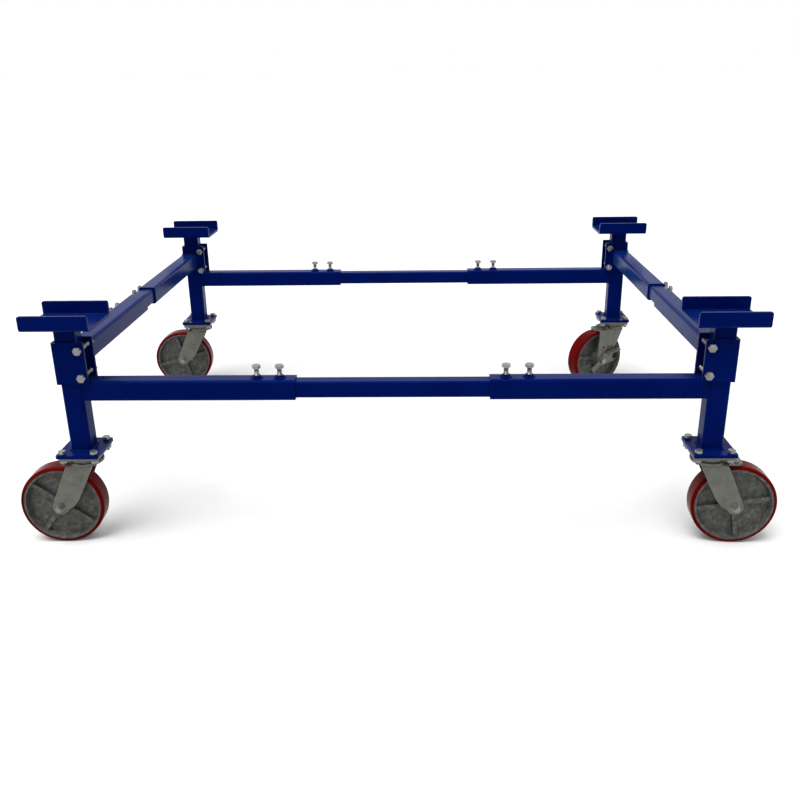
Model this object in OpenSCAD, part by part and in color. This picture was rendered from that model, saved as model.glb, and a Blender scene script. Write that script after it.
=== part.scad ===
/* [Frame] */
// Distance between leg centres along the stand
leg_span_x = 1504; // [1200:1:1700]
// Distance between leg centres across the stand
leg_span_y = 1158; // [1150:1:1500]
// Outside width of the legs and of the outer sleeves
tube_w = 50; // [48:0.5:52]
// Wall of the legs and of the outer sleeves
tube_wall = 4; // [3:0.25:4]
// Outside width of the telescoping inner bars
bar_w = 40; // [36:0.5:40]
// Wall of the inner bars
bar_wall = 3; // [2:0.25:4]
// Height of the long beams' centre line above the floor
beam_z = 398; // [380:1:398]
// Height of the side beams' centre line above the floor
side_z = 468; // [462:1:470]
// Length of each long outer sleeve
long_sleeve_len = 500; // [400:1:520]
// Length of each side outer sleeve
side_sleeve_len = 505; // [400:1:520]
// Length of each long inner bar
long_bar_len = 1000; // [900:1:1000]
// Length of each side inner bar
side_bar_len = 960; // [700:1:960]

/* [Saddle] */
// Length of the saddle channel, along the stand
saddle_len = 158; // [120:1:170]
// Width over the saddle's two flanges
saddle_w = 145; // [110:1:160]
// Height of the flanges from the underside of the web
saddle_h = 37.5; // [30:0.5:50]
// Height of the saddle's underside above the floor
saddle_z = 555.5; // [555:0.5:600]
// Plate thickness of the saddle
saddle_t = 7; // [5:0.5:9]
// Outside radius of the saddle's two bends
saddle_bend = 10; // [8:0.5:14]

/* [Clamp bracket] */
// Plate thickness of the bracket
bracket_t = 6; // [5:0.5:7]
// Sliding clearance between the bracket and the leg
bracket_gap = 0.5; // [0.4:0.1:0.8]
// Height of the bracket
bracket_h = 101; // [100:1:105]
// How far the bracket's two cheeks reach from the leg's centre, inboard
bracket_reach = 45; // [44:1:48]
// Distance of the clamp bolts from the leg's centre, inboard
clamp_x = 32.2; // [32:0.1:33]
// Distance between the two clamp bolts
clamp_pitch = 66; // [64:1:70]

/* [Base plate] */
// Size of the base plate along the stand
base_x = 101.6; // [98:0.1:110]
// Size of the base plate across the stand
base_y = 114.3; // [110:0.1:120]
// Thickness of the base plate
base_t = 8; // [6:0.5:10]
// Distance between the plate bolts along the stand
plate_pitch_x = 76; // [74:0.5:78]
// Distance between the plate bolts across the stand
plate_pitch_y = 90; // [88:0.5:92]

/* [Caster] */
// Overall height of the caster
caster_h = 239; // [239:0.5:245]
// Diameter of the wheel
wheel_d = 203.2; // [200:0.1:204]
// Width of the wheel
wheel_w = 50.8; // [48:0.1:51]
// Horizontal distance from the swivel axis to the axle
swivel_lead = 68; // [66:0.5:70]
// Thickness of the tread
tread_t = 8; // [6:0.5:10]
// Heading of the front left caster's wheel, in degrees
heading_fl = 183; // [0:1:359]
// Heading of the front right caster's wheel, in degrees
heading_fr = 357; // [0:1:359]
// Heading of the rear left caster's wheel, in degrees
heading_rl = 184; // [0:1:359]
// Heading of the rear right caster's wheel, in degrees
heading_rr = 208; // [0:1:359]

/* [Set bolts] */
// Thread radius of the set bolts
set_r = 5.95; // [5.5:0.05:5.95]
// Height of a set bolt's head above its tube
set_stand = 23.5; // [18:0.5:26]
// Distance between the two set bolts of a sleeve
set_pitch = 54; // [45:1:60]
// Distance from a long sleeve's mouth to its first set bolt
set_inset = 37; // [30:1:45]

/* [Hidden] */
FL = 0;
FR = 1;
RL = 2;
RR = 3;
SIDE_X = [-1, 1, -1, 1];
SIDE_Y = [-1, -1, 1, 1];
HEADING = [heading_fl, heading_fr, heading_rl, heading_rr];
// Angle of a wheel's first rib, from the trailing direction upwards
RIB_PHASE = [38, 10, 75, 10];
BLUE = [0.03, 0.12, 0.5];
ZINC = [0.74, 0.74, 0.7];
IRON = [0.5, 0.5, 0.49];
RED = [0.55, 0.05, 0.06];
ROUND = 64;
FINE = 96;
// Tubes and bars
tube_r = 8;
tube_in_r = 4;
bar_r = 6;
bar_in_r = 3;
base_top = caster_h + base_t;
leg_len = saddle_z - base_top;
bracket_in = tube_w / 2 + bracket_gap;
bracket_out = bracket_in + bracket_t;
bracket_bottom = side_z - bracket_h / 2;
side_x = tube_w / 2 - bracket_out;
side_start = bracket_out;
// Bolts and nuts
thread_r = 6;
clamp_hole_r = 6.4;
bolt_af = 18;
head_h = 8;
nut_h = 10;
weld_nut_h = 6.5;
set_hole_r = 6;
side_inset = set_inset - 1;
set_tip_gap = 0.3;
washer_r = 11.5;
washer_t = 2;
tail = 6;
// Base plate bolts
plate_r = 5;
plate_hole_r = 5.5;
plate_af = 17;
plate_head_h = 6.5;
plate_nut_h = 8;
plate_washer_r = 10.5;
base_corner = 4;
// Caster head
top_x = 97;
top_y = 110;
top_t = 6;
top_corner = 9;
top_under = caster_h - top_t;
pin_r = 8;
pin_hole_r = 8.06;
pin_nut_r = 13;
pin_bottom = 199;
pin_gap = 0.4;
race_out = 38;
race_in = 28;
race_bottom = 226.5;
skirt_in = 36.6;
skirt_bottom = 221;
ball_r = 3;
ball_ring = 33;
ball_n = 16;
ball_z = 223.2;
crown_top = 217;
crown_r = 42;
lower_race_top = 219.8;
// Fork
fork_in = 31.25;
fork_t = 6;
fork_out = fork_in + fork_t;
fork_bend = 13;
fork_eye = 19;
axle_z = wheel_d / 2;
axle_r = 6;
axle_hole_r = 6.3;
bush_r = 10;
bush_bore = 6.2;
bearing_bore = 10.06;
bearing_r = 14;
bearing_fit = 0.1;
hub_len = 61;
bulge_r = 12;
bulge_t = 2.5;
bulge_root = 0.5;
// Wheel
core_r = wheel_d / 2 - tread_t;
rim_w = wheel_w - 2;
rim_face = core_r - 5.5;
rim_deep = core_r - 11;
web_t = 14;
hub_r = 24;
hub_end_r = 21;
rib_w = 11;
rib_h = 36;
rib_in = 18;
rib_out = core_r - 4;
shoulder = 7;
// Brake
yoke_t = 5;
yoke_z = 207;
yoke_front = 44;
yoke_back = 77;
yoke_far = 27;
lever_gap = 0.4;
strap_in = fork_out + lever_gap;
strap_out = strap_in + yoke_t;
slot_travel = 4;
lever_in = strap_out + lever_gap;
lever_t = 5;
lever_out = lever_in + lever_t;
lever_eye = 16;
lever_knee = [swivel_lead, 126];
lever_tip = [0, 142];
foot_w = 14;
foot_t = 4;

// ---- Placing ----

// A corner's own frame: origin under the leg, +X and +Y pointing to the stand's middle
module at_corner(i) {
  translate([SIDE_X[i] * leg_span_x / 2, SIDE_Y[i] * leg_span_y / 2, 0])
    mirror([SIDE_X[i] > 0 ? 1 : 0, 0, 0])
      mirror([0, SIDE_Y[i] > 0 ? 1 : 0, 0])
        children();
}

// A caster's own frame: origin under the swivel axis, +X pointing to the axle
module at_caster(i) {
  translate([SIDE_X[i] * leg_span_x / 2, SIDE_Y[i] * leg_span_y / 2, 0])
    rotate([0, 0, HEADING[i]])
      children();
}

// The wheel's own frame: origin on the axle, +Z along the axle to the wheel's left
module at_axle() {
  translate([swivel_lead, 0, axle_z])
    rotate([-90, 0, 0])
      children();
}

// ---- Shared shapes ----

module round_rect(w, h, r) {
  square([w - 2 * r, h], center = true);
  square([w, h - 2 * r], center = true);
  for (x = [-1, 1], y = [-1, 1])
    translate([x * (w / 2 - r), y * (h / 2 - r)])
      circle(r = r, $fn = ROUND);
}

module tube_shape(w, wall, r, in_r) {
  difference() {
    round_rect(w, w, r);
    round_rect(w - 2 * wall, w - 2 * wall, in_r);
  }
}

// A square tube that starts at the origin and runs along +X
module tube_x(len, w, wall, r, in_r) {
  rotate([0, 90, 0])
    linear_extrude(len)
      tube_shape(w, wall, r, in_r);
}

// A square tube that starts at the origin and runs along +Y
module tube_y(len, w, wall, r, in_r) {
  rotate([-90, 0, 0])
    linear_extrude(len)
      tube_shape(w, wall, r, in_r);
}

module hexagon(af, h) {
  cylinder(r = af / 2 / cos(30), h = h, $fn = 6);
}

module rod(r, h) {
  cylinder(r = r, h = h, $fn = ROUND);
}

module ring(r, bore, h) {
  difference() {
    rod(r, h);
    translate([0, 0, -1])
      rod(bore, h + 2);
  }
}

module hex_nut(af, bore, h) {
  difference() {
    hexagon(af, h);
    translate([0, 0, -1])
      rod(bore, h + 2);
  }
}

// A hex bolt whose head stands on z = 0 and whose shank hangs below
module hex_bolt(r, len, af, head) {
  translate([0, 0, -len])
    rod(r, len + head / 2);
  hexagon(af, head);
}

// ---- Leg weldment ----

module base_plate() {
  translate([0, 0, caster_h])
    difference() {
      linear_extrude(base_t)
        round_rect(base_x, base_y, base_corner);
      for (x = [-1, 1], y = [-1, 1])
        translate([x * plate_pitch_x / 2, y * plate_pitch_y / 2, -1])
          rod(plate_hole_r, base_t + 2);
    }
}

module leg(i) {
  color(BLUE)
    at_corner(i) {
      translate([0, 0, base_top])
        linear_extrude(leg_len)
          tube_shape(tube_w, tube_wall, tube_r, tube_in_r);
      base_plate();
    }
}

// The channel's section, with +Y of the drawing pointing up
module saddle_section() {
  in_bend = saddle_bend - saddle_t;
  difference() {
    translate([0, saddle_h])
      round_rect(saddle_w, 2 * saddle_h, saddle_bend);
    translate([0, saddle_h + saddle_t])
      round_rect(saddle_w - 2 * saddle_t, 2 * saddle_h, in_bend);
    translate([-saddle_w, saddle_h])
      square([2 * saddle_w, 2 * saddle_h]);
  }
}

module saddle(i) {
  corner = 5;
  color(BLUE)
    at_corner(i)
      translate([0, 0, saddle_z])
        intersection() {
          translate([-saddle_len / 2, 0, 0])
            rotate([90, 0, 90])
              linear_extrude(saddle_len)
                saddle_section();
          translate([0, saddle_w / 2 + 1, 0])
            rotate([90, 0, 0])
              linear_extrude(saddle_w + 2)
                round_rect(saddle_len, 2 * saddle_h, corner);
        }
}

// ---- Sleeves and bars ----

// Distance of a sleeve's two set bolts from its mouth
function set_at(inset) = [inset, inset + set_pitch];

module long_sleeve(i) {
  mouth = tube_w / 2 + long_sleeve_len;
  color(BLUE)
    at_corner(i)
      translate([0, 0, beam_z]) {
        difference() {
          translate([tube_w / 2, 0, 0])
            tube_x(long_sleeve_len, tube_w, tube_wall, tube_r, tube_in_r);
          for (s = set_at(set_inset))
            translate([mouth - s, 0, 0])
              rod(set_hole_r, tube_w);
        }
        for (s = set_at(set_inset))
          translate([mouth - s, 0, tube_w / 2])
            hex_nut(bolt_af, set_hole_r, weld_nut_h);
      }
}

module long_bar(sy) {
  color(BLUE)
    translate([-long_bar_len / 2, sy * leg_span_y / 2, beam_z])
      tube_x(long_bar_len, bar_w, bar_wall, bar_r, bar_in_r);
}

module side_bar(sx) {
  color(BLUE)
    translate([sx * (leg_span_x / 2 - side_x), -side_bar_len / 2, side_z])
      tube_y(side_bar_len, bar_w, bar_wall, bar_r, bar_in_r);
}

// ---- Clamp bracket ----

module bracket_section() {
  difference() {
    round_rect(2 * bracket_out, 2 * bracket_out, bracket_t);
    translate([bracket_out - bracket_t, 0])
      square([2 * bracket_t, 3 * bracket_out], center = true);
    square(2 * bracket_in, center = true);
  }
  for (y = [-1, 1])
    translate([0, y * (bracket_in + bracket_t / 2) - bracket_t / 2])
      square([bracket_reach, bracket_t]);
}

module bracket(i) {
  mouth = side_start + side_sleeve_len;
  color(BLUE)
    at_corner(i) {
      difference() {
        translate([0, 0, bracket_bottom])
          linear_extrude(bracket_h)
            bracket_section();
        for (z = [-1, 1])
          translate([clamp_x, 0, side_z + z * clamp_pitch / 2])
            rotate([90, 0, 0])
              cylinder(r = clamp_hole_r, h = 4 * bracket_out, center = true, $fn = ROUND);
      }
      difference() {
        translate([side_x, side_start, side_z])
          tube_y(side_sleeve_len, tube_w, tube_wall, tube_r, tube_in_r);
        for (s = set_at(side_inset))
          translate([side_x, mouth - s, side_z])
            rotate([0, -90, 0])
              rod(set_hole_r, tube_w);
      }
      for (s = set_at(side_inset))
        translate([side_x - tube_w / 2, mouth - s, side_z])
          rotate([0, -90, 0])
            hex_nut(bolt_af, set_hole_r, weld_nut_h);
    }
}

module clamp_bolts(i) {
  grip = 2 * bracket_out + 2 * washer_t;
  color(ZINC)
    at_corner(i)
      for (z = [-1, 1])
        translate([clamp_x, 0, side_z + z * clamp_pitch / 2])
          rotate([90, 0, 0]) {
            translate([0, 0, bracket_out + washer_t])
              hex_bolt(thread_r, grip + nut_h + tail, bolt_af, head_h);
            translate([0, 0, bracket_out])
              ring(washer_r, thread_r + 0.1, washer_t);
            translate([0, 0, -bracket_out - washer_t])
              ring(washer_r - 1, thread_r + 0.1, washer_t);
            translate([0, 0, -bracket_out - washer_t - nut_h])
              hex_nut(bolt_af, thread_r + 0.1, nut_h);
          }
}

// ---- Set bolts ----

// One set bolt, standing on a tube's face at z = 0 and reaching to the bar inside
module set_bolt() {
  reach = (tube_w - bar_w) / 2 - set_tip_gap;
  translate([0, 0, set_stand])
    hex_bolt(set_r, set_stand + reach, bolt_af, head_h);
}

module long_set_bolts(i) {
  mouth = tube_w / 2 + long_sleeve_len;
  color(ZINC)
    at_corner(i)
      for (s = set_at(set_inset))
        translate([mouth - s, 0, beam_z + tube_w / 2])
          set_bolt();
}

module side_set_bolts(i) {
  mouth = side_start + side_sleeve_len;
  color(ZINC)
    at_corner(i)
      for (s = set_at(side_inset))
        translate([side_x - tube_w / 2, mouth - s, side_z])
          rotate([0, -90, 0])
            set_bolt();
}

// ---- Caster head ----

module caster_plate(i) {
  color(ZINC)
    at_corner(i) {
      difference() {
        translate([0, 0, top_under])
          linear_extrude(top_t)
            round_rect(top_x, top_y, top_corner);
        for (x = [-1, 1], y = [-1, 1])
          translate([x * plate_pitch_x / 2, y * plate_pitch_y / 2, top_under - 1])
            rod(plate_hole_r, top_t + 2);
      }
      translate([0, 0, race_bottom])
        ring(race_out, race_in, top_under - race_bottom);
      translate([0, 0, skirt_bottom])
        ring(race_out, skirt_in, race_bottom - skirt_bottom);
      translate([0, 0, pin_bottom])
        rod(pin_r, top_under - pin_bottom);
      translate([0, 0, pin_bottom])
        rod(pin_nut_r, crown_top - fork_t - pin_gap - pin_bottom);
      for (b = [0 : ball_n - 1])
        rotate([0, 0, b * 360 / ball_n])
          translate([ball_ring, 0, ball_z])
            sphere(r = ball_r, $fn = 24);
    }
}

module plate_bolts(i) {
  grip = base_t + top_t + washer_t;
  color(ZINC)
    at_corner(i)
      for (x = [-1, 1], y = [-1, 1])
        translate([x * plate_pitch_x / 2, y * plate_pitch_y / 2, 0]) {
          translate([0, 0, base_top + washer_t])
            hex_bolt(plate_r, grip + plate_nut_h + tail, plate_af, plate_head_h);
          translate([0, 0, base_top])
            ring(plate_washer_r, plate_r + 0.1, washer_t);
          translate([0, 0, top_under - plate_nut_h])
            hex_nut(plate_af, plate_r + 0.1, plate_nut_h);
        }
}

// ---- Fork ----

// Side view of the fork, in the caster's X and Z
module fork_outline() {
  polygon([
    [-26, crown_top], [37, crown_top], [53, 184], [69, 147], [80.5, 122],
    [84, 106], [swivel_lead, axle_z], [54, 92], [34, 104], [20, 122], [-1, 162]
  ]);
  translate([swivel_lead, axle_z])
    circle(r = fork_eye, $fn = FINE);
}

// Section across the fork: an upside-down channel
module fork_section() {
  deep = 2 * crown_top;
  difference() {
    round_rect(2 * fork_out, deep, fork_bend);
    translate([0, -fork_t])
      round_rect(2 * fork_in, deep, fork_bend - fork_t);
  }
}

module fork_body() {
  long = 2 * wheel_d;
  intersection() {
    translate([-long / 2, 0, 0])
      rotate([90, 0, 90])
        linear_extrude(long)
          fork_section();
    translate([0, fork_out + 1, 0])
      rotate([90, 0, 0])
        linear_extrude(2 * fork_out + 2)
          fork_outline();
  }
}

// The pressed bulge that stiffens a plain fork's leg, on the face that lies bulge_root above z = 0
module bulge() {
  low = [24.5, 176];
  high = [11, 208];
  linear_extrude(bulge_t) {
    for (p = [low, high])
      translate(p)
        circle(r = bulge_r, $fn = ROUND);
    slope = atan2(high[1] - low[1], high[0] - low[0]);
    translate(low)
      rotate([0, 0, slope])
        translate([0, -bulge_r])
          square([norm(high - low), 2 * bulge_r]);
  }
}

module fork(i) {
  braked = i == FR || i == RR;
  color(ZINC)
    at_caster(i)
      difference() {
        union() {
          fork_body();
          translate([0, 0, crown_top - fork_t])
            rod(crown_r, fork_t);
          translate([0, 0, crown_top - 1])
            rod(crown_r - 4, lower_race_top - crown_top + 1);
          if (!braked)
            for (m = [0, 1])
              mirror([0, m, 0])
                translate([0, -fork_out + bulge_root, 0])
                  rotate([90, 0, 0])
                    bulge();
        }
        translate([0, 0, crown_top - 2 * fork_t])
          rod(pin_hole_r, 3 * fork_t);
        translate([swivel_lead, 0, axle_z])
          rotate([90, 0, 0])
            cylinder(r = axle_hole_r, h = 3 * fork_out, center = true, $fn = ROUND);
      }
}

module axle(i) {
  braked = i == FR || i == RR;
  head_side = braked ? lever_out + lever_gap : fork_out;
  washer = 1.5;
  bolt_len = fork_out + head_side + 2 * washer + plate_nut_h + tail;
  color(ZINC)
    at_caster(i)
      at_axle()
        // The head is on the lever's side of a braked fork, on the other side of a plain one
        rotate([braked ? 0 : 180, 0, 0]) {
          translate([0, 0, head_side + washer])
            hex_bolt(axle_r, bolt_len, plate_af, plate_head_h);
          translate([0, 0, head_side])
            ring(plate_washer_r, axle_r + 0.1, washer);
          translate([0, 0, -fork_out - washer])
            ring(plate_washer_r, axle_r + 0.1, washer);
          translate([0, 0, -fork_out - washer - plate_nut_h])
            hex_nut(plate_af, axle_r + 0.1, plate_nut_h);
          translate([0, 0, -fork_in])
            ring(bush_r, bush_bore, 2 * fork_in);
        }
}

// ---- Wheel ----

// Half section of the cast core: X is the radius, Y runs along the axle
module core_section() {
  polygon([
    [bearing_r, -hub_len / 2], [hub_end_r, -hub_len / 2], [hub_r, -web_t / 2],
    [rim_deep, -web_t / 2], [rim_face, -rim_w / 2], [core_r, -rim_w / 2],
    [core_r, rim_w / 2], [rim_face, rim_w / 2], [rim_deep, web_t / 2],
    [hub_r, web_t / 2], [hub_end_r, hub_len / 2], [bearing_r, hub_len / 2]
  ]);
}

module wheel_core(i) {
  color(IRON)
    at_caster(i)
      at_axle() {
        union() {
          rotate_extrude($fn = FINE)
            core_section();
          for (k = [0 : 3])
            rotate([0, 0, k * 90 - RIB_PHASE[i]])
              translate([rib_in, -rib_w / 2, -rib_h / 2])
                cube([rib_out - rib_in, rib_w, rib_h]);
        }
        translate([0, 0, -hub_len / 2])
          ring(bearing_r - bearing_fit, bearing_bore, hub_len);
      }
}

module tread(i) {
  depth = 4 * shoulder;
  color(RED)
    at_caster(i)
      at_axle()
        rotate_extrude($fn = FINE)
          intersection() {
            translate([wheel_d / 2 - depth / 2, 0])
              round_rect(depth, wheel_w, shoulder);
            translate([core_r + 0.05, -wheel_w])
              square([depth, 2 * wheel_w]);
          }
}

// ---- Side-lever brake ----

// The strap that runs down outside the left leg, in the caster's X and Z
module strap_outline() {
  eye = 19;
  polygon([
    [yoke_front + 2, yoke_z + yoke_t], [yoke_back, yoke_z + yoke_t],
    [82, 202], [86, 145], [89, 122], [swivel_lead + eye, axle_z],
    [swivel_lead - eye, axle_z], [50, 157]
  ]);
  translate([swivel_lead, axle_z])
    circle(r = eye, $fn = ROUND);
}

module brake_yoke(i) {
  corner = 8;
  pad = [20, 30];
  screw = [62, -16];
  rivet_hole = [62, 150];
  color(ZINC)
    at_caster(i) {
      // Plate over the tread
      translate([0, 0, yoke_z])
        linear_extrude(yoke_t)
          difference() {
            translate([yoke_front, -yoke_far])
              square([yoke_back - yoke_front, yoke_far + strap_out]);
            translate([yoke_back, -yoke_far])
              rotate([0, 0, 45])
                square(corner * sqrt(2), center = true);
          }
      // Strap with a slot round the axle
      difference() {
        translate([0, strap_out, 0])
          rotate([90, 0, 0])
            linear_extrude(yoke_t)
              strap_outline();
        for (dz = [0, -slot_travel])
          translate([swivel_lead, 0, axle_z + dz])
            rotate([90, 0, 0])
              cylinder(r = axle_hole_r, h = 3 * lever_out, center = true, $fn = ROUND);
        translate([swivel_lead - axle_hole_r, 0, axle_z - slot_travel])
          cube([2 * axle_hole_r, 2 * lever_out, slot_travel]);
        translate([rivet_hole[0], 0, rivet_hole[1]])
          rotate([90, 0, 0])
            cylinder(r = 4, h = 3 * lever_out, center = true, $fn = ROUND);
      }
      // Friction pad, curved to the tread
      difference() {
        translate([swivel_lead - pad[0] / 2, -pad[1] / 2, yoke_z - 5])
          cube([pad[0], pad[1], 5]);
        translate([swivel_lead, 0, axle_z])
          rotate([90, 0, 0])
            cylinder(r = wheel_d / 2 + 0.3, h = 2 * pad[1], center = true, $fn = FINE);
      }
      // Adjusting screw
      translate([screw[0], screw[1], yoke_z + yoke_t])
        rod(6, 2);
    }
}

// Side view of the lever, in the caster's X and Z: the pedal arm and the shorter release arm
module lever_outline() {
  release_len = 54;
  release_w = 16;
  release_angle = -37;
  polygon([
    lever_knee, lever_tip, [-1, 134], [23, 128], [26, 108],
    [20, 94], [46, 91], [60, 92], [swivel_lead, axle_z]
  ]);
  translate([swivel_lead, axle_z]) {
    circle(r = lever_eye, $fn = ROUND);
    rotate([0, 0, release_angle])
      translate([0, -release_w / 2])
        square([release_len, release_w]);
  }
}

module brake_lever(i) {
  slope = atan2(lever_tip[1] - lever_knee[1], lever_knee[0] - lever_tip[0]);
  foot_len = 50;
  lap = 1;
  color(ZINC)
    at_caster(i)
      difference() {
        union() {
          translate([0, lever_out, 0])
            rotate([90, 0, 0])
              linear_extrude(lever_t)
                lever_outline();
          // Foot plate, folded outward along the lever's top edge
          translate([lever_tip[0], lever_in + lap, lever_tip[1]])
            rotate([0, slope, 0])
              translate([lap, 0, -foot_t - lap])
                cube([foot_len, lever_t + foot_w - lap, foot_t]);
        }
        translate([swivel_lead, 0, axle_z])
          rotate([90, 0, 0])
            cylinder(r = axle_hole_r - 0.25, h = 3 * lever_out, center = true, $fn = ROUND);
      }
}

// ---- Drawing ----

leg(FL);  // leg_fl
leg(FR);  // leg_fr
leg(RL);  // leg_rl
leg(RR);  // leg_rr
saddle(FL);  // saddle_fl
saddle(FR);  // saddle_fr
saddle(RL);  // saddle_rl
saddle(RR);  // saddle_rr
long_sleeve(FL);  // long_sleeve_fl
long_sleeve(FR);  // long_sleeve_fr
long_sleeve(RL);  // long_sleeve_rl
long_sleeve(RR);  // long_sleeve_rr
bracket(FL);  // bracket_fl
bracket(FR);  // bracket_fr
bracket(RL);  // bracket_rl
bracket(RR);  // bracket_rr
clamp_bolts(FL);  // clamp_bolts_fl
clamp_bolts(FR);  // clamp_bolts_fr
clamp_bolts(RL);  // clamp_bolts_rl
clamp_bolts(RR);  // clamp_bolts_rr
long_bar(-1);  // front_bar
long_bar(1);  // rear_bar
side_bar(-1);  // left_bar
side_bar(1);  // right_bar
long_set_bolts(FL);  // long_set_bolts_fl
long_set_bolts(FR);  // long_set_bolts_fr
long_set_bolts(RL);  // long_set_bolts_rl
long_set_bolts(RR);  // long_set_bolts_rr
side_set_bolts(FL);  // side_set_bolts_fl
side_set_bolts(FR);  // side_set_bolts_fr
side_set_bolts(RL);  // side_set_bolts_rl
side_set_bolts(RR);  // side_set_bolts_rr
caster_plate(FL);  // caster_plate_fl
caster_plate(FR);  // caster_plate_fr
caster_plate(RL);  // caster_plate_rl
caster_plate(RR);  // caster_plate_rr
plate_bolts(FL);  // plate_bolts_fl
plate_bolts(FR);  // plate_bolts_fr
plate_bolts(RL);  // plate_bolts_rl
plate_bolts(RR);  // plate_bolts_rr
fork(FL);  // fork_fl
fork(FR);  // fork_fr
fork(RL);  // fork_rl
fork(RR);  // fork_rr
axle(FL);  // axle_fl
axle(FR);  // axle_fr
axle(RL);  // axle_rl
axle(RR);  // axle_rr
wheel_core(FL);  // wheel_core_fl
wheel_core(FR);  // wheel_core_fr
wheel_core(RL);  // wheel_core_rl
wheel_core(RR);  // wheel_core_rr
tread(FL);  // tread_fl
tread(FR);  // tread_fr
tread(RL);  // tread_rl
tread(RR);  // tread_rr
brake_yoke(FR);  // brake_yoke_fr
brake_yoke(RR);  // brake_yoke_rr
brake_lever(FR);  // brake_lever_fr
brake_lever(RR);  // brake_lever_rr
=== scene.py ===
"""Looks for the adjustable engine stand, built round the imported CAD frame."""

import math

import bmesh
import bpy
from mathutils import Matrix, Vector, noise


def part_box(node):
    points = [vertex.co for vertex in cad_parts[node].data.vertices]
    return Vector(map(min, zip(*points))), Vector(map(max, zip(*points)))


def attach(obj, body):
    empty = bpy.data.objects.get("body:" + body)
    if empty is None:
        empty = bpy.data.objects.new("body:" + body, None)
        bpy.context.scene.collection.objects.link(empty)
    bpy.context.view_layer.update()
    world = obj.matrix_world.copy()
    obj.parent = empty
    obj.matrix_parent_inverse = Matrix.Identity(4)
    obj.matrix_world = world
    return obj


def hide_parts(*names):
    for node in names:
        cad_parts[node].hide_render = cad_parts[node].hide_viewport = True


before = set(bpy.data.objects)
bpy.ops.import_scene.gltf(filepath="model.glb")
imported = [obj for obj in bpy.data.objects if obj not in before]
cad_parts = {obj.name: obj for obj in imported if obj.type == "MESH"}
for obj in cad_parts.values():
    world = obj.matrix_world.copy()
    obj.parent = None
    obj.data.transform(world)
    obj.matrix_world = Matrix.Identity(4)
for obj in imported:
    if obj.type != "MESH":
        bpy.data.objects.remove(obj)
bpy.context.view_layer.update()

CORNERS = ("fl", "fr", "rl", "rr")
PLAIN = ("fl", "rl")
BRAKED = ("fr", "rr")
MM = 0.001

X, Y, Z = Vector((1, 0, 0)), Vector((0, 1, 0)), Vector((0, 0, 1))

# Sizes that the frame's boxes don't give
BASE_T = 8 * MM
TUBE_R = 8 * MM
FORK_OUT = 37.25 * MM
SET_BOLT = {"head_h": 8 * MM, "flats": 18 * MM, "radius": 5.95 * MM}
CLAMP_BOLT = {"head_h": 8 * MM, "flats": 18 * MM, "radius": 6 * MM}
PLATE_BOLT = {"head_h": 6.5 * MM, "flats": 17 * MM, "radius": 5 * MM}
BOLT_LENGTH_MIN = 15 * MM
WASHER_T_MAX = 3 * MM
BORE_PLAY = 0.1 * MM
NUT_WELD_R = 11.2 * MM
NUT_WELD_SIZE = 3.8 * MM
NUT_WELD_RIPPLE = 5 * MM
MERGE_DIST = 1e-5


# ---- Geometry helpers ----


def add_object(name, bm, material, body, smooth_deg=35):
    """Turns bm into a named piece that rides on a body."""
    mesh = bpy.data.meshes.new(name)
    bmesh.ops.recalc_face_normals(bm, faces=bm.faces)
    bm.to_mesh(mesh)
    bm.free()
    for face in mesh.polygons:
        face.use_smooth = True
    mesh.set_sharp_from_angle(angle=math.radians(smooth_deg))
    mesh.materials.append(material)
    obj = bpy.data.objects.new(name, mesh)
    bpy.context.scene.collection.objects.link(obj)
    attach(obj, body)
    return obj


def solids(node):
    """Boxes (low, high) of a CAD node's separate solids."""
    bm = bmesh.new()
    bm.from_mesh(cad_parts[node].data)
    bmesh.ops.remove_doubles(bm, verts=bm.verts, dist=MERGE_DIST)
    left, found = set(bm.verts), []
    while left:
        stack = [left.pop()]
        group = []
        while stack:
            v = stack.pop()
            group.append(v.co.copy())
            for edge in v.link_edges:
                other = edge.other_vert(v)
                if other in left:
                    left.remove(other)
                    stack.append(other)
        low = Vector([min(c[i] for c in group) for i in range(3)])
        high = Vector([max(c[i] for c in group) for i in range(3)])
        found.append((low, high))
    bm.free()
    return found


def middle(box):
    """Centre of a (low, high) box."""
    return (box[0] + box[1]) / 2


def axis_frame(origin, direction):
    """A matrix whose +Z points along direction from origin."""
    turn = Vector(direction).to_track_quat("Z", "Y").to_matrix().to_4x4()
    return Matrix.Translation(origin) @ turn


def rings_to_faces(bm, rings, closed=False):
    """Skins a list of equally long vertex loops."""
    pairs = list(zip(rings, rings[1:]))
    if closed:
        pairs.append((rings[-1], rings[0]))
    for a, b in pairs:
        for i, v in enumerate(a):
            j = (i + 1) % len(a)
            bm.faces.new((v, a[j], b[j], b[i]))


def lathe(bm, matrix, profile, steps=48):
    """Turns a closed profile of (radius, height) round +Z."""
    rings = []
    for k in range(steps):
        angle = 2 * math.pi * k / steps
        rings.append([
            bm.verts.new(matrix @ Vector((r * math.cos(angle), r * math.sin(angle), z)))
            for r, z in profile
        ])
    rings_to_faces(bm, rings, closed=True)


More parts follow.
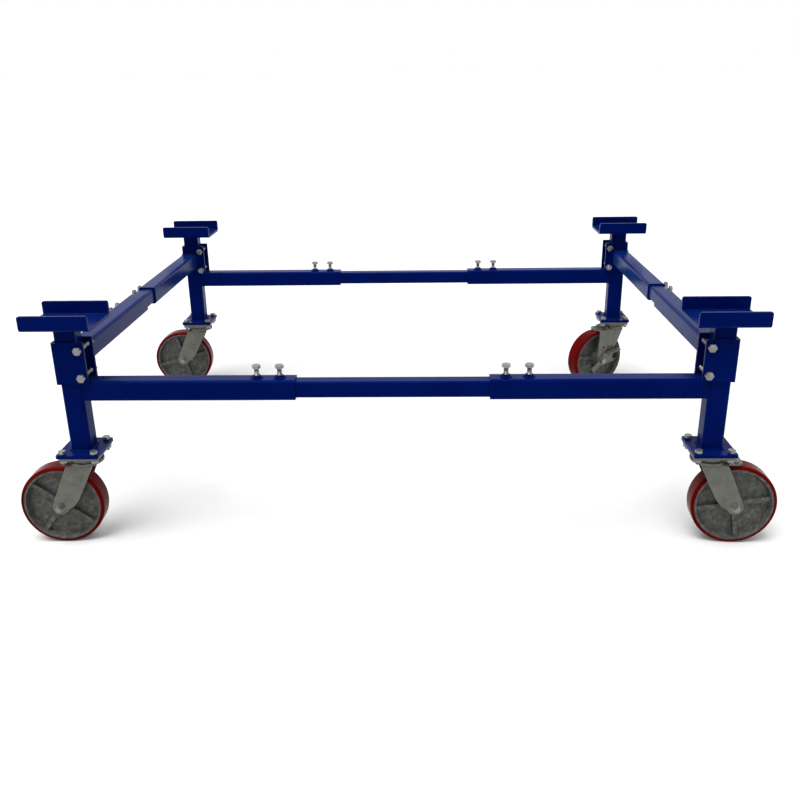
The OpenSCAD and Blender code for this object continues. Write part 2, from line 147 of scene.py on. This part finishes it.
def hex_body(bm, matrix, flats, height, bore=0.0, chamfer_under=False):
    """A hexagon head or nut with the usual 30 degree chamfer."""
    steps = 72
    crown = 0.475 * flats
    slope = math.tan(math.radians(30))

    def hex_radius(angle):
        part = (angle + math.pi / 6) % (math.pi / 3) - math.pi / 6
        return flats / 2 / math.cos(part)

    def ring(kind):
        made = []
        for k in range(steps):
            angle = 2 * math.pi * k / steps
            wide = hex_radius(angle + math.pi / 6)
            drop = max(0.0, wide - crown) * slope
            r, z = {
                "under": (crown, 0.0),
                "low": (wide, drop if chamfer_under else 0.0),
                "high": (wide, height - drop),
                "top": (crown, height),
                "dish": (crown * 0.88, height - 0.03 * height),
                "bore_top": (bore, height - 0.03 * height),
                "bore_under": (bore, 0.0),
            }[kind]
            made.append(bm.verts.new(matrix @ Vector((r * math.cos(angle), r * math.sin(angle), z))))
        return made

    kinds = ["under", "low", "high", "top"]
    if bore:
        rings = [ring(k) for k in kinds + ["bore_top", "bore_under"]]
        rings_to_faces(bm, rings, closed=True)
    else:
        rings = [ring(k) for k in kinds + ["dish"]]
        rings_to_faces(bm, rings)
        bm.faces.new(rings[-1])
        bm.faces.new(list(reversed(rings[0])))


def threaded_rod(bm, matrix, radius, start, end, pitch=1.75 * MM):
    """A screw thread from start to end along +Z, closed at both ends."""
    steps = 20
    depth = 0.61 * pitch
    turns = (end - start) / pitch
    rows = max(4, int(turns * 4))
    rings = []
    for row in range(rows + 1):
        z = start + (end - start) * row / rows
        ring = []
        for k in range(steps):
            share = k / steps
            phase = ((z - start) / pitch - share) % 1.0
            crest = 1 - abs(2 * phase - 1)
            near_end = min(1.0, (end - z) / pitch, (z - start) / pitch + 0.2)
            r = radius - depth * (1 - crest * max(0.0, near_end))
            angle = 2 * math.pi * share
            ring.append(bm.verts.new(matrix @ Vector((r * math.cos(angle), r * math.sin(angle), z))))
        rings.append(ring)
    rings_to_faces(bm, rings)
    bm.faces.new(rings[-1])
    bm.faces.new(list(reversed(rings[0])))


def washer(bm, matrix, outer, inner, thick):
    """A flat washer with its outer edges broken."""
    edge = 0.2 * thick
    lathe(bm, matrix, [
        (inner, 0), (outer - edge, 0), (outer, edge),
        (outer, thick - edge), (outer - edge, thick), (inner, thick),
    ])


def box_path(centre, u, v, half_u, half_v, radius, count=150):
    """Points round a rounded rectangle of half sides half_u and half_v, with outward directions."""
    straight_u, straight_v = half_u - radius, half_v - radius
    arc = math.pi / 2 * radius
    total = 4 * (straight_u + straight_v + arc)
    corners = [(1, 1), (-1, 1), (-1, -1), (1, -1)]
    normals = [(1, 0), (0, 1), (-1, 0), (0, -1)]
    points = []
    for k in range(count):
        s = total * k / count
        side = 0
        while True:
            along = 2 * (straight_v if side % 2 == 0 else straight_u)
            if s < along:
                a = corners[(side - 1) % 4]
                b = corners[side]
                t = s / along
                out = Vector(normals[side])
                x = out.x * half_u if out.x else (a[0] + (b[0] - a[0]) * t) * straight_u
                y = out.y * half_v if out.y else (a[1] + (b[1] - a[1]) * t) * straight_v
                break
            s -= along
            if s < arc:
                turn = math.pi / 2 * (side + s / arc)
                out = Vector((math.cos(turn), math.sin(turn)))
                x = corners[side][0] * straight_u + radius * out.x
                y = corners[side][1] * straight_v + radius * out.y
                break
            s -= arc
            side = (side + 1) % 4
        points.append((centre + u * x + v * y, u * out.x + v * out.y))
    return points


def bead(bm, points, face_normal, size, seed, ripple=4 * MM):
    """A weld bead along a closed path, rippled as it was laid."""
    sides = 8
    travelled = 0.0
    rings = []
    for k, (p, out) in enumerate(points):
        if k:
            travelled += (p - points[k - 1][0]).length
        wave = 0.10 * math.sin(2 * math.pi * travelled / ripple)
        wobble = 0.16 * noise.noise(Vector((travelled * 90, seed * 7.3, 0)))
        r = size * (1 + wave + wobble)
        rings.append([
            bm.verts.new(p + out * (r * math.cos(a)) + face_normal * (r * 0.85 * math.sin(a)))
            for a in (2 * math.pi * i / sides for i in range(sides))
        ])
    rings_to_faces(bm, rings, closed=True)


def ring_path(centre, u, v, radius, count=60):
    """Points round a circle, each with its outward direction."""
    points = []
    for k in range(count):
        a = 2 * math.pi * k / count
        out = u * math.cos(a) + v * math.sin(a)
        points.append((centre + out * radius, out))
    return points


# ---- Materials ----


class Nodes:
    """Short names for building one material's nodes."""

    def __init__(self, name):
        self.material = bpy.data.materials.new(name)
        self.material.use_nodes = True
        self.tree = self.material.node_tree
        self.shader = self.tree.nodes["Principled BSDF"]
        self.coords = self.tree.nodes.new("ShaderNodeTexCoord").outputs["Object"]

    def link(self, output, socket):
        self.tree.links.new(output, socket)

    def noise(self, scale, detail=3.0, rough=0.5):
        n = self.tree.nodes.new("ShaderNodeTexNoise")
        n.inputs["Scale"].default_value = scale
        n.inputs["Detail"].default_value = detail
        n.inputs["Roughness"].default_value = rough
        self.link(self.coords, n.inputs["Vector"])
        return n.outputs["Fac"]

    def ramp(self, source, stops):
        r = self.tree.nodes.new("ShaderNodeValToRGB")
        r.color_ramp.elements[0].position = stops[0][0]
        r.color_ramp.elements[0].color = (*stops[0][1], 1)
        r.color_ramp.elements[1].position = stops[-1][0]
        r.color_ramp.elements[1].color = (*stops[-1][1], 1)
        for place, colour in stops[1:-1]:
            r.color_ramp.elements.new(place).color = (*colour, 1)
        self.link(source, r.inputs["Fac"])
        return r.outputs["Color"]

    def spread(self, source, low, high):
        m = self.tree.nodes.new("ShaderNodeMapRange")
        m.inputs["From Min"].default_value = 0.3
        m.inputs["From Max"].default_value = 0.7
        m.inputs["To Min"].default_value = low
        m.inputs["To Max"].default_value = high
        self.link(source, m.inputs["Value"])
        return m.outputs["Result"]

    def bump(self, source, strength, distance):
        b = self.tree.nodes.new("ShaderNodeBump")
        b.inputs["Strength"].default_value = strength
        b.inputs["Distance"].default_value = distance
        self.link(source, b.inputs["Height"])
        self.link(b.outputs["Normal"], self.shader.inputs["Normal"])

    def set(self, **values):
        for key, value in values.items():
            self.shader.inputs[key.replace("_", " ")].default_value = value


def blue_paint():
    n = Nodes("blue_powder_coat")
    n.link(n.ramp(n.noise(9, 4), [(0.3, (0.0001, 0.0026, 0.050)), (0.7, (0.0002, 0.0040, 0.062))]),
           n.shader.inputs["Base Color"])
    n.link(n.spread(n.noise(35, 3), 0.21, 0.27), n.shader.inputs["Roughness"])
    n.bump(n.noise(650, 2), 0.06, 0.0003)
    n.set(Specular_IOR_Level=0.03, Specular_Tint=(0.08, 0.40, 1.0, 1.0),
          Sheen_Weight=0.12, Sheen_Roughness=0.35, Sheen_Tint=(0.08, 0.30, 0.95, 1.0))
    return n.material


def zinc(name, dark, light, rough_low, rough_high, metallic):
    n = Nodes(name)
    n.link(n.ramp(n.noise(45, 5, 0.6), [(0.32, dark), (0.68, light)]), n.shader.inputs["Base Color"])
    n.link(n.spread(n.noise(130, 4), rough_low, rough_high), n.shader.inputs["Roughness"])
    n.bump(n.noise(700, 3), 0.12, 0.0003)
    n.set(Metallic=metallic)
    return n.material


def cast_core():
    n = Nodes("rough_casting")
    n.link(n.ramp(n.noise(85, 8, 0.7), [(0.3, (0.032, 0.032, 0.030)), (0.5, (0.060, 0.060, 0.057)),
                                         (0.72, (0.125, 0.125, 0.119))]), n.shader.inputs["Base Color"])
    n.link(n.spread(n.noise(90, 5), 0.38, 0.62), n.shader.inputs["Roughness"])
    n.bump(n.noise(420, 6, 0.7), 0.30, 0.0006)
    n.set(Metallic=0.35, Specular_IOR_Level=0.2)
    return n.material


def red_tread():
    n = Nodes("red_polyurethane")
    n.link(n.ramp(n.noise(22, 4), [(0.3, (0.050, 0.0007, 0.0006)), (0.7, (0.078, 0.0014, 0.0012))]),
           n.shader.inputs["Base Color"])
    n.link(n.spread(n.noise(70, 4), 0.14, 0.28), n.shader.inputs["Roughness"])
    n.bump(n.noise(180, 3), 0.06, 0.0005)
    n.set(Specular_IOR_Level=0.03, Specular_Tint=(1.0, 0.25, 0.22, 1.0))
    return n.material


def pale_floor():
    n = Nodes("pale_floor")
    n.link(n.ramp(n.noise(3, 4), [(0.3, (0.545, 0.545, 0.545)), (0.7, (0.575, 0.575, 0.575))]),
           n.shader.inputs["Base Color"])
    n.set(Roughness=0.8, Specular_IOR_Level=0.1)
    return n.material


BLUE = blue_paint()
FORK_ZINC = zinc("fork_zinc", (0.080, 0.081, 0.068), (0.110, 0.111, 0.094), 0.22, 0.32, 0.5)
BOLT_ZINC = zinc("bolt_zinc", (0.13, 0.13, 0.127), (0.25, 0.25, 0.242), 0.12, 0.22, 0.75)
CORE = cast_core()
RED = red_tread()


# ---- CAD nodes ----


def dress(node, material, width, segments=2, angle=32):
    """Gives a CAD node its material and softly broken edges."""
    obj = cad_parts[node]
    obj.data.materials.clear()
    obj.data.materials.append(material)
    normals = obj.data.attributes.get("custom_normal")
    if normals:
        obj.data.attributes.remove(normals)
    for face in obj.data.polygons:
        face.use_smooth = True
    weld = obj.modifiers.new("weld", "WELD")
    weld.merge_threshold = MERGE_DIST
    bevel = obj.modifiers.new("edges", "BEVEL")
    bevel.width = width
    bevel.segments = segments
    bevel.limit_method = "ANGLE"
    bevel.angle_limit = math.radians(angle)
    bevel.use_clamp_overlap = True
    level = obj.modifiers.new("shading", "WEIGHTED_NORMAL")
    level.weight = 80


for corner in CORNERS:
    dress("leg_" + corner, BLUE, 0.6 * MM)
    dress("saddle_" + corner, BLUE, 0.8 * MM)
    dress("long_sleeve_" + corner, BLUE, 0.6 * MM)
    dress("bracket_" + corner, BLUE, 0.7 * MM)
    dress("caster_plate_" + corner, FORK_ZINC, 0.5 * MM)
    dress("fork_" + corner, FORK_ZINC, 1.0 * MM, 3)
    dress("axle_" + corner, BOLT_ZINC, 0.4 * MM)
    dress("wheel_core_" + corner, CORE, 1.6 * MM, 3, 25)
    dress("tread_" + corner, RED, 0.4 * MM)
for corner in BRAKED:
    dress("brake_yoke_" + corner, FORK_ZINC, 0.7 * MM)
    dress("brake_lever_" + corner, FORK_ZINC, 0.7 * MM)
for bar in ("front_bar", "rear_bar", "left_bar", "right_bar"):
    dress(bar, BLUE, 0.5 * MM)


# ---- Fasteners ----


def span(box, axis):
    """Length of a (low, high) box along one axis."""
    return box[1][axis] - box[0][axis]


def bolt(bm, centre, direction, head_start, reach, head_h, flats, radius):
    """Head from head_start outwards along direction, shank the other way."""
    start = centre + direction * head_start
    hex_body(bm, axis_frame(start, direction), flats, head_h)
    threaded_rod(bm, axis_frame(start, -direction), radius, 0.0, reach)


def set_bolts(node, body, direction):
    """Two set bolts whose heads stand off a tube, along direction."""
    bm = bmesh.new()
    axis = max(range(3), key=lambda i: abs(direction[i]))
    head_h = SET_BOLT["head_h"]
    for box in solids(node):
        length = span(box, axis)
        bolt(bm, middle(box), direction, length / 2 - head_h, length - head_h, **SET_BOLT)
    made = add_object("threaded_" + node, bm, BOLT_ZINC, body)
    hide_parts(node)


def group_bolts(node, body, axis, towards, sizes):
    """Through bolts with their washers and nuts, each made in place of its CAD solid."""
    bm = bmesh.new()
    direction = Vector([0, 0, 0])
    direction[axis] = towards
    bore = sizes["radius"] + BORE_PLAY
    head_h = sizes["head_h"]
    for box in solids(node):
        centre = middle(box)
        length = span(box, axis)
        foot = axis_frame(centre - direction * length / 2, direction)
        if length > BOLT_LENGTH_MIN:
            bolt(bm, centre, direction, length / 2 - head_h, length - head_h, **sizes)
        elif length < WASHER_T_MAX:
            washer(bm, foot, span(box, (axis + 1) % 3) / 2, bore, length)
        else:
            hex_body(bm, foot, sizes["flats"], length, bore=bore, chamfer_under=True)
    made = add_object("threaded_" + node, bm, BOLT_ZINC, body)
    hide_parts(node)


for corner in CORNERS:
    leg = middle(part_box("leg_" + corner))
    outward_x = math.copysign(1, leg.x)
    outward_y = math.copysign(1, leg.y)
    set_bolts("long_set_bolts_" + corner, "long_set_" + corner, Z)
    set_bolts("side_set_bolts_" + corner, "side_set_" + corner, outward_x * X)
    group_bolts("clamp_bolts_" + corner, "bracket_" + corner, 1, outward_y, CLAMP_BOLT)
    group_bolts("plate_bolts_" + corner, "leg_" + corner, 2, 1, PLATE_BOLT)


# ---- Welds ----


def nut_weld(bm, foot, u, v, normal, seed):
    """The bead round one welded nut, at foot on the tube's face."""
    bead(bm, ring_path(foot, u, v, NUT_WELD_R), normal, NUT_WELD_SIZE, seed, NUT_WELD_RIPPLE)


def leg_welds(corner, seed):
    """Base plate, saddle, long sleeve and nut beads of one leg."""
    leg_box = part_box("leg_" + corner)
    sleeve_low, sleeve_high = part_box("long_sleeve_" + corner)
    centre = middle(leg_box)
    half = (sleeve_high.y - sleeve_low.y) / 2
    inward_x = -math.copysign(1, centre.x)
    bm = bmesh.new()
    base = Vector((centre.x, centre.y, leg_box[0].z + BASE_T))
    bead(bm, box_path(base, X, Y, half + 0.8 * MM, half + 0.8 * MM, TUBE_R), Z, 3.6 * MM, seed)
    top = Vector((centre.x, centre.y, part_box("saddle_" + corner)[0].z))
    bead(bm, box_path(top, X, Y, half + 0.5 * MM, half + 0.5 * MM, TUBE_R), Z, 2.8 * MM, seed + 1)
    joint = Vector((centre.x + inward_x * half, centre.y, sleeve_low.z + half))
    bead(bm, box_path(joint, Y, Z, half - 0.3 * MM, half + 0.6 * MM, TUBE_R), X, 2.4 * MM, seed + 2)
    for box in solids("long_set_bolts_" + corner):
        foot = Vector((middle(box).x, centre.y, sleeve_low.z + 2 * half))
        nut_weld(bm, foot, X, Y, Z, seed + foot.x)
    add_object("leg_welds_" + corner, bm, BLUE, "leg_" + corner, 60)


def bracket_welds(corner, seed):
    """Side sleeve and nut beads of one bracket."""
    centre = middle(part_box("leg_" + corner))
    sleeve_low, sleeve_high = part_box("long_sleeve_" + corner)
    half = (sleeve_high.y - sleeve_low.y) / 2
    inward_x = -math.copysign(1, centre.x)
    inward_y = -math.copysign(1, centre.y)
    bm = bmesh.new()
    bar = middle(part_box("left_bar" if centre.x < 0 else "right_bar"))
    bracket_low, bracket_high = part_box("bracket_" + corner)
    reach = centre.y - bracket_low.y if inward_y > 0 else bracket_high.y - centre.y
    seam = Vector((bar.x, centre.y + inward_y * reach, bar.z))
    bead(bm, box_path(seam, X, Z, half + 0.6 * MM, half + 0.6 * MM, TUBE_R), Y, 2.6 * MM, seed + 3)
    for box in solids("side_set_bolts_" + corner):
        foot = Vector((bar.x - inward_x * half, middle(box).y, bar.z))
        nut_weld(bm, foot, Y, Z, X, seed + foot.y)
    add_object("bracket_welds_" + corner, bm, BLUE, "bracket_" + corner, 60)


for order, corner in enumerate(CORNERS):
    leg_welds(corner, 11 * (order + 1))
    bracket_welds(corner, 11 * (order + 1))


# ---- Pressed bulges of the plain forks ----


def pressed_bulge(corner):
    """Soft raised channel down each leg of a plain fork, laid over the CAD node's flat one."""
    leg = middle(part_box("leg_" + corner))
    axle = middle(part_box("tread_" + corner))
    trail = Vector((axle.x - leg.x, axle.y - leg.y, 0)).normalized()
    across = Vector((-trail.y, trail.x, 0))
    low = Vector((24.5 * MM, 176 * MM))
    high = Vector((11 * MM, 208 * MM))
    along = (high - low).normalized()
    side = Vector((-along.y, along.x))
    flat, rim, lift = 12.2 * MM, 16.6 * MM, 2.9 * MM
    crown, bend = 217 * MM, 13 * MM
    steps = 20

    def face(z):
        """How far the fork's outer face stands from its middle plane at height z."""
        over = max(0.0, z - (crown - bend))
        return FORK_OUT - bend + math.sqrt(bend * bend - over * over)

    bm = bmesh.new()
    for sign in (-1, 1):
        rings = []
        for radius, height in ((0.3 * MM, lift + 0.5 * MM), (5 * MM, lift + 0.4 * MM),
                               (8 * MM, lift + 0.25 * MM), (flat, lift), (flat + 1.4 * MM, 0.82 * lift),
                               (flat + 3.2 * MM, 0.24 * lift), (rim, -0.3 * MM)):
            ring = []
            for k in range(2 * steps + 2):
                end, base = (low, math.pi) if k <= steps else (high, 0.0)
                turn = base + math.pi * (k if k <= steps else k - steps - 1) / steps
                p = end + radius * (side * math.cos(turn) + along * math.sin(turn))
                p.y = min(p.y, crown - 1.5 * MM)
                spot = Vector((leg.x, leg.y, 0)) + trail * p.x + Z * p.y
                ring.append(bm.verts.new(spot + across * (sign * (face(p.y) + height))))
            rings.append(ring)
        rings_to_faces(bm, rings)
        bm.faces.new(rings[0])
        bm.faces.new(list(reversed(rings[-1])))
    add_object("pressed_bulges_" + corner, bm, FORK_ZINC, "fork_" + corner, 80)


for corner in PLAIN:
    pressed_bulge(corner)


# ---- Stage, light and camera ----


def build_stage():
    """A plain pale floor that reaches past the horizon."""
    bm = bmesh.new()
    bmesh.ops.create_grid(bm, x_segments=2, y_segments=2, size=300)
    mesh = bpy.data.meshes.new("floor")
    bm.to_mesh(mesh)
    bm.free()
    mesh.materials.append(pale_floor())
    floor = bpy.data.objects.new("floor", mesh)
    bpy.context.scene.collection.objects.link(floor)


def build_light():
    """White surroundings and one wide soft light from above, a little in front and to the left."""
    world = bpy.data.worlds.new("studio")
    world.use_nodes = True
    background = world.node_tree.nodes["Background"]
    background.inputs["Color"].default_value = (1.0, 1.0, 1.0, 1)
    background.inputs["Strength"].default_value = 1.0
    bpy.context.scene.world = world
    data = bpy.data.lights.new("overhead", "SUN")
    data.energy = 4.0
    data.angle = math.radians(40)
    light = bpy.data.objects.new("overhead", data)
    light.rotation_euler = Vector((0.22, 0.30, -1)).to_track_quat("-Z", "Y").to_euler()
    bpy.context.scene.collection.objects.link(light)


def build_camera():
    """Looks the way the photograph does: down, slightly left, with a little roll."""
    yaw, pitch, roll = (math.radians(a) for a in (-1.855, 20.818, 0.859))
    data = bpy.data.cameras.new("camera")
    data.sensor_width = 36.0
    data.lens = 39.19
    camera = bpy.data.objects.new("camera", data)
    ahead = Vector((math.sin(yaw) * math.cos(pitch), math.cos(yaw) * math.cos(pitch), -math.sin(pitch)))
    level = Vector((math.cos(yaw), -math.sin(yaw), 0))
    down = ahead.cross(level)
    right = math.cos(roll) * level + math.sin(roll) * down
    up = math.sin(roll) * level - math.cos(roll) * down
    turn = Matrix((right, up, -ahead)).transposed().to_4x4()
    camera.matrix_world = Matrix.Translation((0.0790, -2.4975, 1.0952)) @ turn
    bpy.context.scene.collection.objects.link(camera)
    bpy.context.scene.camera = camera


build_stage()
build_light()
build_camera()
bpy.context.scene.view_settings.view_transform = "Standard"

bpy.context.view_layer.update()
